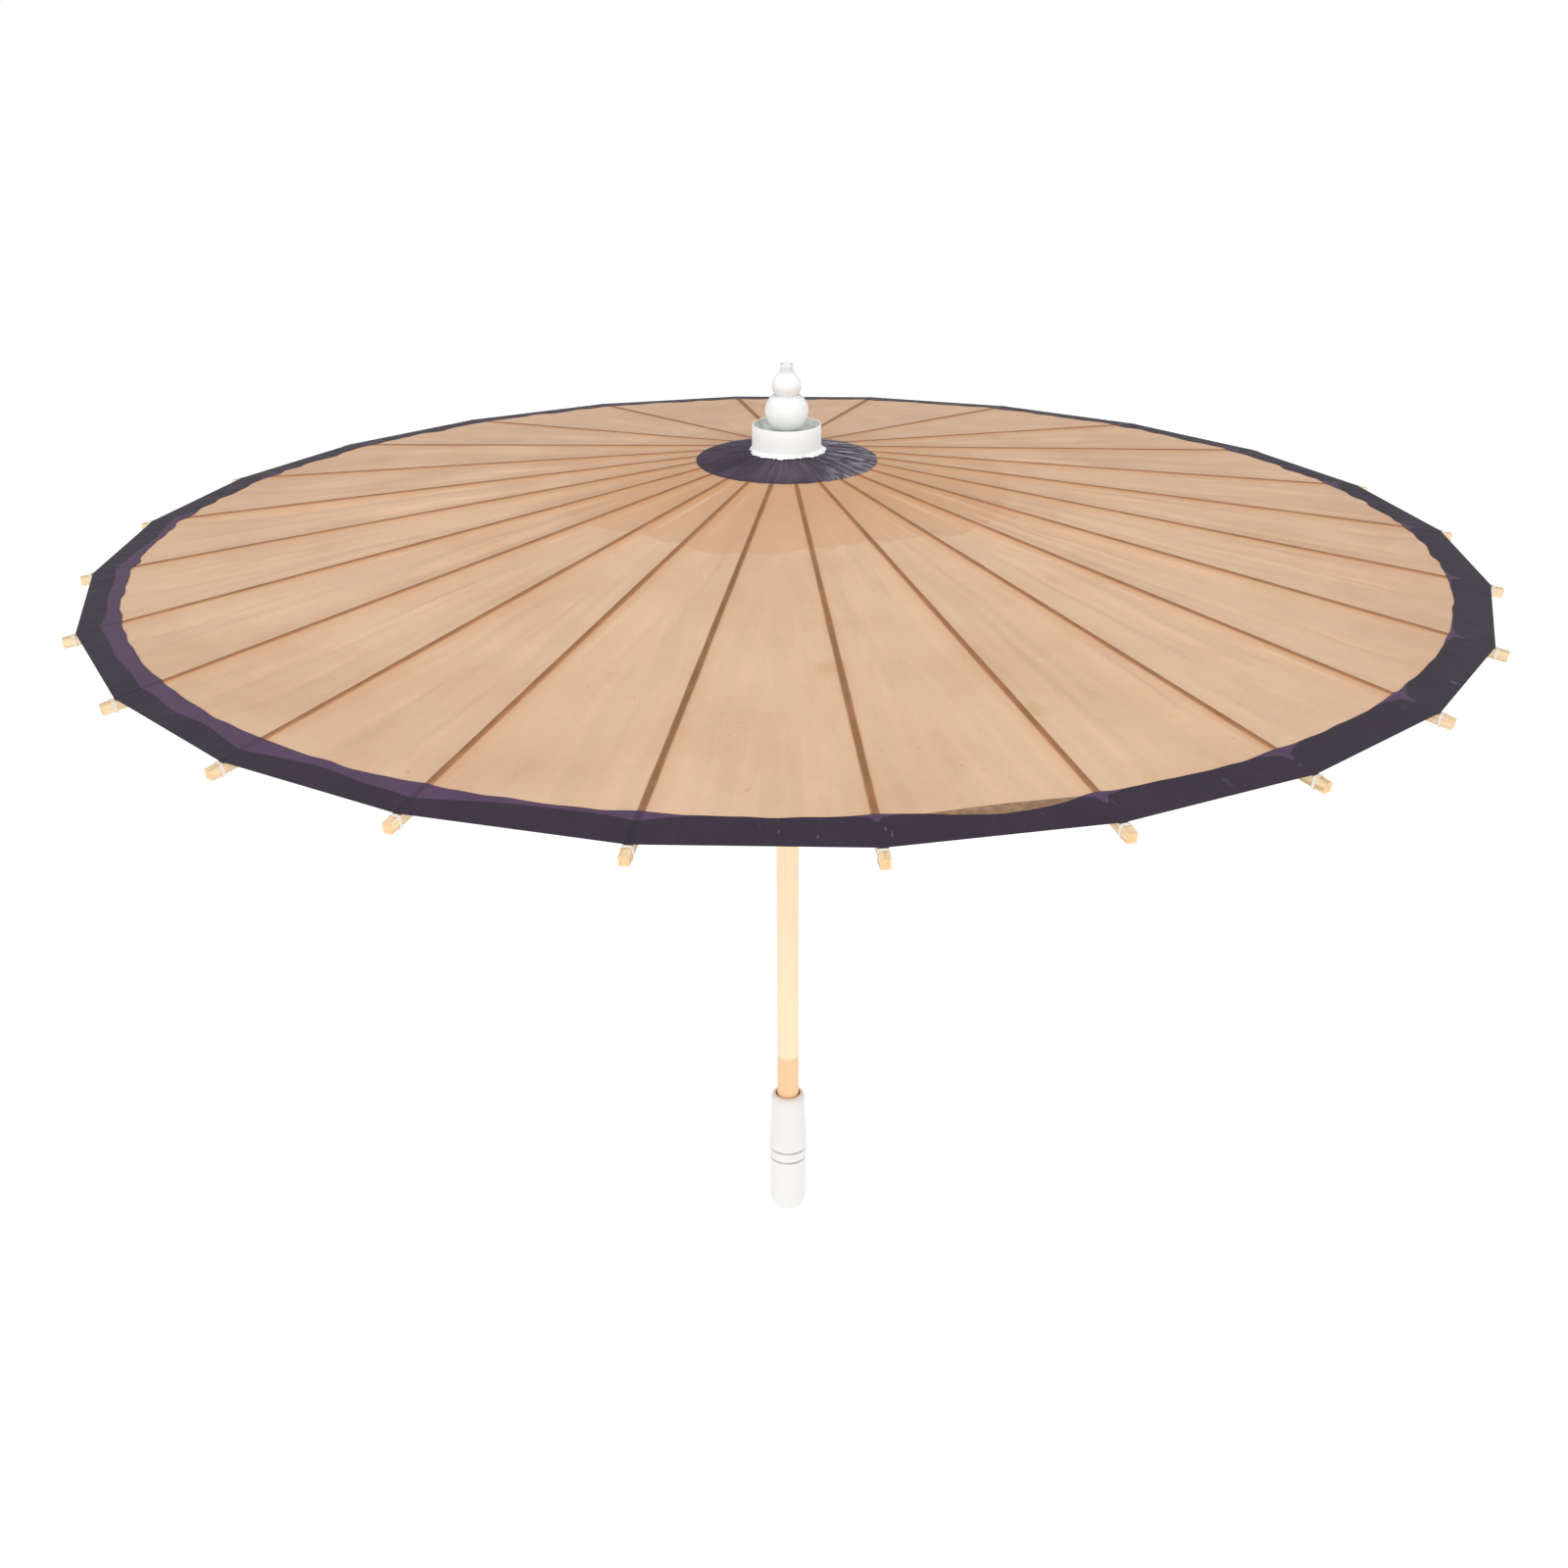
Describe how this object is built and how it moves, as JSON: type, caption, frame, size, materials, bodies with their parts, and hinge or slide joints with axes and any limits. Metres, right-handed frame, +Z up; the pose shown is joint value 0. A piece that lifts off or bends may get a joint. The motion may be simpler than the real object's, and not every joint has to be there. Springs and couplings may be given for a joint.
{
  "type": "oil paper umbrella",
  "caption": "Folding oil paper umbrella: a many-ribbed shallow paper canopy on bamboo ribs and stretchers, sliding on a bamboo shaft with a turned grip and a gourd finial.",
  "frame": {"origin": "centre of the small flat at the end of the grip, on the shaft's axis", "axes": "+Z up the shaft towards the finial; the first rib points along -Y"},
  "size_m": [0.8552, 0.8552, 0.6088],
  "materials": {
    "bamboo": "split bamboo, satin",
    "shaft_bamboo": "varnished bamboo",
    "hub_wood": "turned wood, matte",
    "white_plastic": "gloss",
    "wire": "drawn wire",
    "spring_metal": "satin",
    "oiled_paper": "oiled bamboo paper, translucent",
    "purple_paper": "dyed oiled paper, satin"
  },
  "bodies": {
    "shaft": {"shaft": "shaft_bamboo", "grip": "white_plastic", "finial": "white_plastic", "head_cup": "white_plastic", "notch": "hub_wood", "notch_wire": "wire", "canopy_paper": "oiled_paper", "rim_band": "purple_paper", "crown_disc": "purple_paper"},
    "rib_01": {"rib_01": "bamboo"},
    "stretcher_01": {"stretcher_01": "bamboo"},
    "runner": {"runner": "hub_wood", "runner_wire": "wire"},
    "rib_02": {"rib_02": "bamboo"},
    "stretcher_02": {"stretcher_02": "bamboo"},
    "rib_03": {"rib_03": "bamboo"},
    "stretcher_03": {"stretcher_03": "bamboo"},
    "rib_04": {"rib_04": "bamboo"},
    "stretcher_04": {"stretcher_04": "bamboo"},
    "rib_05": {"rib_05": "bamboo"},
    "stretcher_05": {"stretcher_05": "bamboo"},
    "rib_06": {"rib_06": "bamboo"},
    "stretcher_06": {"stretcher_06": "bamboo"},
    "rib_07": {"rib_07": "bamboo"},
    "stretcher_07": {"stretcher_07": "bamboo"},
    "rib_08": {"rib_08": "bamboo"},
    "stretcher_08": {"stretcher_08": "bamboo"},
    "rib_09": {"rib_09": "bamboo"},
    "stretcher_09": {"stretcher_09": "bamboo"},
    "rib_10": {"rib_10": "bamboo"},
    "stretcher_10": {"stretcher_10": "bamboo"},
    "rib_11": {"rib_11": "bamboo"},
    "stretcher_11": {"stretcher_11": "bamboo"},
    "rib_12": {"rib_12": "bamboo"},
    "stretcher_12": {"stretcher_12": "bamboo"},
    "rib_13": {"rib_13": "bamboo"},
    "stretcher_13": {"stretcher_13": "bamboo"},
    "rib_14": {"rib_14": "bamboo"},
    "stretcher_14": {"stretcher_14": "bamboo"},
    "rib_15": {"rib_15": "bamboo"},
    "stretcher_15": {"stretcher_15": "bamboo"},
    "rib_16": {"rib_16": "bamboo"},
    "stretcher_16": {"stretcher_16": "bamboo"},
    "rib_17": {"rib_17": "bamboo"},
    "stretcher_17": {"stretcher_17": "bamboo"},
    "rib_18": {"rib_18": "bamboo"},
    "stretcher_18": {"stretcher_18": "bamboo"},
    "rib_19": {"rib_19": "bamboo"},
    "stretcher_19": {"stretcher_19": "bamboo"},
    "rib_20": {"rib_20": "bamboo"},
    "stretcher_20": {"stretcher_20": "bamboo"},
    "rib_21": {"rib_21": "bamboo"},
    "stretcher_21": {"stretcher_21": "bamboo"},
    "rib_22": {"rib_22": "bamboo"},
    "stretcher_22": {"stretcher_22": "bamboo"},
    "rib_23": {"rib_23": "bamboo"},
    "stretcher_23": {"stretcher_23": "bamboo"},
    "rib_24": {"rib_24": "bamboo"},
    "stretcher_24": {"stretcher_24": "bamboo"},
    "catch_spring": {"catch_spring": "spring_metal"}
  },
  "joints": [
    {"name": "fold", "type": "hinge", "parent": "shaft", "child": "rib_01", "pos_m": [0, -0.017, 0.55283], "axis": [1, 0, 0], "range_deg": [0, 77.5], "deforming": ["canopy_paper", "rim_band", "crown_disc", "catch_spring"]},
    {"name": "stretcher_01_hinge", "type": "hinge", "parent": "rib_01", "child": "stretcher_01", "pos_m": [0, -0.20844, 0.51572], "axis": [1, 0, 0], "range_deg": [-158, 2]},
    {"name": "runner_hinge", "type": "hinge", "parent": "stretcher_01", "child": "runner", "pos_m": [0, -0.017, 0.47861], "axis": [1, 0, 0], "range_deg": [-1, 79.5]},
    {"name": "rib_02_hinge", "type": "hinge", "parent": "shaft", "child": "rib_02", "pos_m": [0.0044, -0.01642, 0.55283], "axis": [0.9659, 0.2588, 0], "range_deg": [-1, 79.5]},
    {"name": "stretcher_02_hinge", "type": "hinge", "parent": "rib_02", "child": "stretcher_02", "pos_m": [0.05395, -0.20133, 0.51572], "axis": [0.9659, 0.2588, 0], "range_deg": [-158, 2]},
    {"name": "rib_03_hinge", "type": "hinge", "parent": "shaft", "child": "rib_03", "pos_m": [0.0085, -0.01472, 0.55283], "axis": [0.866, 0.5, 0], "range_deg": [-1, 79.5]},
    {"name": "stretcher_03_hinge", "type": "hinge", "parent": "rib_03", "child": "stretcher_03", "pos_m": [0.10422, -0.18051, 0.51572], "axis": [0.866, 0.5, 0], "range_deg": [-158, 2]},
    {"name": "rib_04_hinge", "type": "hinge", "parent": "shaft", "child": "rib_04", "pos_m": [0.01202, -0.01202, 0.55283], "axis": [0.7071, 0.7071, 0], "range_deg": [-1, 79.5]},
    {"name": "stretcher_04_hinge", "type": "hinge", "parent": "rib_04", "child": "stretcher_04", "pos_m": [0.14739, -0.14739, 0.51572], "axis": [0.7071, 0.7071, 0], "range_deg": [-158, 2]},
    {"name": "rib_05_hinge", "type": "hinge", "parent": "shaft", "child": "rib_05", "pos_m": [0.01472, -0.0085, 0.55283], "axis": [0.5, 0.866, 0], "range_deg": [-1, 79.5]},
    {"name": "stretcher_05_hinge", "type": "hinge", "parent": "rib_05", "child": "stretcher_05", "pos_m": [0.18051, -0.10422, 0.51572], "axis": [0.5, 0.866, 0], "range_deg": [-158, 2]},
    {"name": "rib_06_hinge", "type": "hinge", "parent": "shaft", "child": "rib_06", "pos_m": [0.01642, -0.0044, 0.55283], "axis": [0.2588, 0.9659, 0], "range_deg": [-1, 79.5]},
    {"name": "stretcher_06_hinge", "type": "hinge", "parent": "rib_06", "child": "stretcher_06", "pos_m": [0.20133, -0.05395, 0.51572], "axis": [0.2588, 0.9659, 0], "range_deg": [-158, 2]},
    {"name": "rib_07_hinge", "type": "hinge", "parent": "shaft", "child": "rib_07", "pos_m": [0.017, 0, 0.55283], "axis": [0, 1, 0], "range_deg": [-1, 79.5]},
    {"name": "stretcher_07_hinge", "type": "hinge", "parent": "rib_07", "child": "stretcher_07", "pos_m": [0.20844, 0, 0.51572], "axis": [0, 1, 0], "range_deg": [-158, 2]},
    {"name": "rib_08_hinge", "type": "hinge", "parent": "shaft", "child": "rib_08", "pos_m": [0.01642, 0.0044, 0.55283], "axis": [-0.2588, 0.9659, 0], "range_deg": [-1, 79.5]},
    {"name": "stretcher_08_hinge", "type": "hinge", "parent": "rib_08", "child": "stretcher_08", "pos_m": [0.20133, 0.05395, 0.51572], "axis": [-0.2588, 0.9659, 0], "range_deg": [-158, 2]},
    {"name": "rib_09_hinge", "type": "hinge", "parent": "shaft", "child": "rib_09", "pos_m": [0.01472, 0.0085, 0.55283], "axis": [-0.5, 0.866, 0], "range_deg": [-1, 79.5]},
    {"name": "stretcher_09_hinge", "type": "hinge", "parent": "rib_09", "child": "stretcher_09", "pos_m": [0.18051, 0.10422, 0.51572], "axis": [-0.5, 0.866, 0], "range_deg": [-158, 2]},
    {"name": "rib_10_hinge", "type": "hinge", "parent": "shaft", "child": "rib_10", "pos_m": [0.01202, 0.01202, 0.55283], "axis": [-0.7071, 0.7071, 0], "range_deg": [-1, 79.5]},
    {"name": "stretcher_10_hinge", "type": "hinge", "parent": "rib_10", "child": "stretcher_10", "pos_m": [0.14739, 0.14739, 0.51572], "axis": [-0.7071, 0.7071, 0], "range_deg": [-158, 2]},
    {"name": "rib_11_hinge", "type": "hinge", "parent": "shaft", "child": "rib_11", "pos_m": [0.0085, 0.01472, 0.55283], "axis": [-0.866, 0.5, 0], "range_deg": [-1, 79.5]},
    {"name": "stretcher_11_hinge", "type": "hinge", "parent": "rib_11", "child": "stretcher_11", "pos_m": [0.10422, 0.18051, 0.51572], "axis": [-0.866, 0.5, 0], "range_deg": [-158, 2]},
    {"name": "rib_12_hinge", "type": "hinge", "parent": "shaft", "child": "rib_12", "pos_m": [0.0044, 0.01642, 0.55283], "axis": [-0.9659, 0.2588, 0], "range_deg": [-1, 79.5]},
    {"name": "stretcher_12_hinge", "type": "hinge", "parent": "rib_12", "child": "stretcher_12", "pos_m": [0.05395, 0.20133, 0.51572], "axis": [-0.9659, 0.2588, 0], "range_deg": [-158, 2]},
    {"name": "rib_13_hinge", "type": "hinge", "parent": "shaft", "child": "rib_13", "pos_m": [0, 0.017, 0.55283], "axis": [-1, 0, 0], "range_deg": [-1, 79.5]},
    {"name": "stretcher_13_hinge", "type": "hinge", "parent": "rib_13", "child": "stretcher_13", "pos_m": [0, 0.20844, 0.51572], "axis": [-1, 0, 0], "range_deg": [-158, 2]},
    {"name": "rib_14_hinge", "type": "hinge", "parent": "shaft", "child": "rib_14", "pos_m": [-0.0044, 0.01642, 0.55283], "axis": [-0.9659, -0.2588, 0], "range_deg": [-1, 79.5]},
    {"name": "stretcher_14_hinge", "type": "hinge", "parent": "rib_14", "child": "stretcher_14", "pos_m": [-0.05395, 0.20133, 0.51572], "axis": [-0.9659, -0.2588, 0], "range_deg": [-158, 2]},
    {"name": "rib_15_hinge", "type": "hinge", "parent": "shaft", "child": "rib_15", "pos_m": [-0.0085, 0.01472, 0.55283], "axis": [-0.866, -0.5, 0], "range_deg": [-1, 79.5]},
    {"name": "stretcher_15_hinge", "type": "hinge", "parent": "rib_15", "child": "stretcher_15", "pos_m": [-0.10422, 0.18051, 0.51572], "axis": [-0.866, -0.5, 0], "range_deg": [-158, 2]},
    {"name": "rib_16_hinge", "type": "hinge", "parent": "shaft", "child": "rib_16", "pos_m": [-0.01202, 0.01202, 0.55283], "axis": [-0.7071, -0.7071, 0], "range_deg": [-1, 79.5]},
    {"name": "stretcher_16_hinge", "type": "hinge", "parent": "rib_16", "child": "stretcher_16", "pos_m": [-0.14739, 0.14739, 0.51572], "axis": [-0.7071, -0.7071, 0], "range_deg": [-158, 2]},
    {"name": "rib_17_hinge", "type": "hinge", "parent": "shaft", "child": "rib_17", "pos_m": [-0.01472, 0.0085, 0.55283], "axis": [-0.5, -0.866, 0], "range_deg": [-1, 79.5]},
    {"name": "stretcher_17_hinge", "type": "hinge", "parent": "rib_17", "child": "stretcher_17", "pos_m": [-0.18051, 0.10422, 0.51572], "axis": [-0.5, -0.866, 0], "range_deg": [-158, 2]},
    {"name": "rib_18_hinge", "type": "hinge", "parent": "shaft", "child": "rib_18", "pos_m": [-0.01642, 0.0044, 0.55283], "axis": [-0.2588, -0.9659, 0], "range_deg": [-1, 79.5]},
    {"name": "stretcher_18_hinge", "type": "hinge", "parent": "rib_18", "child": "stretcher_18", "pos_m": [-0.20133, 0.05395, 0.51572], "axis": [-0.2588, -0.9659, 0], "range_deg": [-158, 2]},
    {"name": "rib_19_hinge", "type": "hinge", "parent": "shaft", "child": "rib_19", "pos_m": [-0.017, 0, 0.55283], "axis": [0, -1, 0], "range_deg": [-1, 79.5]},
    {"name": "stretcher_19_hinge", "type": "hinge", "parent": "rib_19", "child": "stretcher_19", "pos_m": [-0.20844, 0, 0.51572], "axis": [0, -1, 0], "range_deg": [-158, 2]},
    {"name": "rib_20_hinge", "type": "hinge", "parent": "shaft", "child": "rib_20", "pos_m": [-0.01642, -0.0044, 0.55283], "axis": [0.2588, -0.9659, 0], "range_deg": [-1, 79.5]},
    {"name": "stretcher_20_hinge", "type": "hinge", "parent": "rib_20", "child": "stretcher_20", "pos_m": [-0.20133, -0.05395, 0.51572], "axis": [0.2588, -0.9659, 0], "range_deg": [-158, 2]},
    {"name": "rib_21_hinge", "type": "hinge", "parent": "shaft", "child": "rib_21", "pos_m": [-0.01472, -0.0085, 0.55283], "axis": [0.5, -0.866, 0], "range_deg": [-1, 79.5]},
    {"name": "stretcher_21_hinge", "type": "hinge", "parent": "rib_21", "child": "stretcher_21", "pos_m": [-0.18051, -0.10422, 0.51572], "axis": [0.5, -0.866, 0], "range_deg": [-158, 2]},
    {"name": "rib_22_hinge", "type": "hinge", "parent": "shaft", "child": "rib_22", "pos_m": [-0.01202, -0.01202, 0.55283], "axis": [0.7071, -0.7071, 0], "range_deg": [-1, 79.5]},
    {"name": "stretcher_22_hinge", "type": "hinge", "parent": "rib_22", "child": "stretcher_22", "pos_m": [-0.14739, -0.14739, 0.51572], "axis": [0.7071, -0.7071, 0], "range_deg": [-158, 2]},
    {"name": "rib_23_hinge", "type": "hinge", "parent": "shaft", "child": "rib_23", "pos_m": [-0.0085, -0.01472, 0.55283], "axis": [0.866, -0.5, 0], "range_deg": [-1, 79.5]},
    {"name": "stretcher_23_hinge", "type": "hinge", "parent": "rib_23", "child": "stretcher_23", "pos_m": [-0.10422, -0.18051, 0.51572], "axis": [0.866, -0.5, 0], "range_deg": [-158, 2]},
    {"name": "rib_24_hinge", "type": "hinge", "parent": "shaft", "child": "rib_24", "pos_m": [-0.0044, -0.01642, 0.55283], "axis": [0.9659, -0.2588, 0], "range_deg": [-1, 79.5]},
    {"name": "stretcher_24_hinge", "type": "hinge", "parent": "rib_24", "child": "stretcher_24", "pos_m": [-0.05395, -0.20133, 0.51572], "axis": [0.9659, -0.2588, 0], "range_deg": [-158, 2]},
    {"name": "catch_press", "type": "hinge", "parent": "shaft", "child": "catch_spring", "pos_m": [0.0048, 0, 0.40081], "axis": [0, -1, 0], "range_deg": [0, 5], "stiffness_Nm_per_rad": 0.05, "springref_deg": -2.86}
  ],
  "couplings": [
    {"joint": "stretcher_01_hinge", "follows": "fold", "ratio": -2},
    {"joint": "runner_hinge", "follows": "fold", "ratio": 1},
    {"joint": "rib_02_hinge", "follows": "fold", "ratio": 1},
    {"joint": "stretcher_02_hinge", "follows": "fold", "ratio": -2},
    {"joint": "rib_03_hinge", "follows": "fold", "ratio": 1},
    {"joint": "stretcher_03_hinge", "follows": "fold", "ratio": -2},
    {"joint": "rib_04_hinge", "follows": "fold", "ratio": 1},
    {"joint": "stretcher_04_hinge", "follows": "fold", "ratio": -2},
    {"joint": "rib_05_hinge", "follows": "fold", "ratio": 1},
    {"joint": "stretcher_05_hinge", "follows": "fold", "ratio": -2},
    {"joint": "rib_06_hinge", "follows": "fold", "ratio": 1},
    {"joint": "stretcher_06_hinge", "follows": "fold", "ratio": -2},
    {"joint": "rib_07_hinge", "follows": "fold", "ratio": 1},
    {"joint": "stretcher_07_hinge", "follows": "fold", "ratio": -2},
    {"joint": "rib_08_hinge", "follows": "fold", "ratio": 1},
    {"joint": "stretcher_08_hinge", "follows": "fold", "ratio": -2},
    {"joint": "rib_09_hinge", "follows": "fold", "ratio": 1},
    {"joint": "stretcher_09_hinge", "follows": "fold", "ratio": -2},
    {"joint": "rib_10_hinge", "follows": "fold", "ratio": 1},
    {"joint": "stretcher_10_hinge", "follows": "fold", "ratio": -2},
    {"joint": "rib_11_hinge", "follows": "fold", "ratio": 1},
    {"joint": "stretcher_11_hinge", "follows": "fold", "ratio": -2},
    {"joint": "rib_12_hinge", "follows": "fold", "ratio": 1},
    {"joint": "stretcher_12_hinge", "follows": "fold", "ratio": -2},
    {"joint": "rib_13_hinge", "follows": "fold", "ratio": 1},
    {"joint": "stretcher_13_hinge", "follows": "fold", "ratio": -2},
    {"joint": "rib_14_hinge", "follows": "fold", "ratio": 1},
    {"joint": "stretcher_14_hinge", "follows": "fold", "ratio": -2},
    {"joint": "rib_15_hinge", "follows": "fold", "ratio": 1},
    {"joint": "stretcher_15_hinge", "follows": "fold", "ratio": -2},
    {"joint": "rib_16_hinge", "follows": "fold", "ratio": 1},
    {"joint": "stretcher_16_hinge", "follows": "fold", "ratio": -2},
    {"joint": "rib_17_hinge", "follows": "fold", "ratio": 1},
    {"joint": "stretcher_17_hinge", "follows": "fold", "ratio": -2},
    {"joint": "rib_18_hinge", "follows": "fold", "ratio": 1},
    {"joint": "stretcher_18_hinge", "follows": "fold", "ratio": -2},
    {"joint": "rib_19_hinge", "follows": "fold", "ratio": 1},
    {"joint": "stretcher_19_hinge", "follows": "fold", "ratio": -2},
    {"joint": "rib_20_hinge", "follows": "fold", "ratio": 1},
    {"joint": "stretcher_20_hinge", "follows": "fold", "ratio": -2},
    {"joint": "rib_21_hinge", "follows": "fold", "ratio": 1},
    {"joint": "stretcher_21_hinge", "follows": "fold", "ratio": -2},
    {"joint": "rib_22_hinge", "follows": "fold", "ratio": 1},
    {"joint": "stretcher_22_hinge", "follows": "fold", "ratio": -2},
    {"joint": "rib_23_hinge", "follows": "fold", "ratio": 1},
    {"joint": "stretcher_23_hinge", "follows": "fold", "ratio": -2},
    {"joint": "rib_24_hinge", "follows": "fold", "ratio": 1},
    {"joint": "stretcher_24_hinge", "follows": "fold", "ratio": -2}
  ]
}
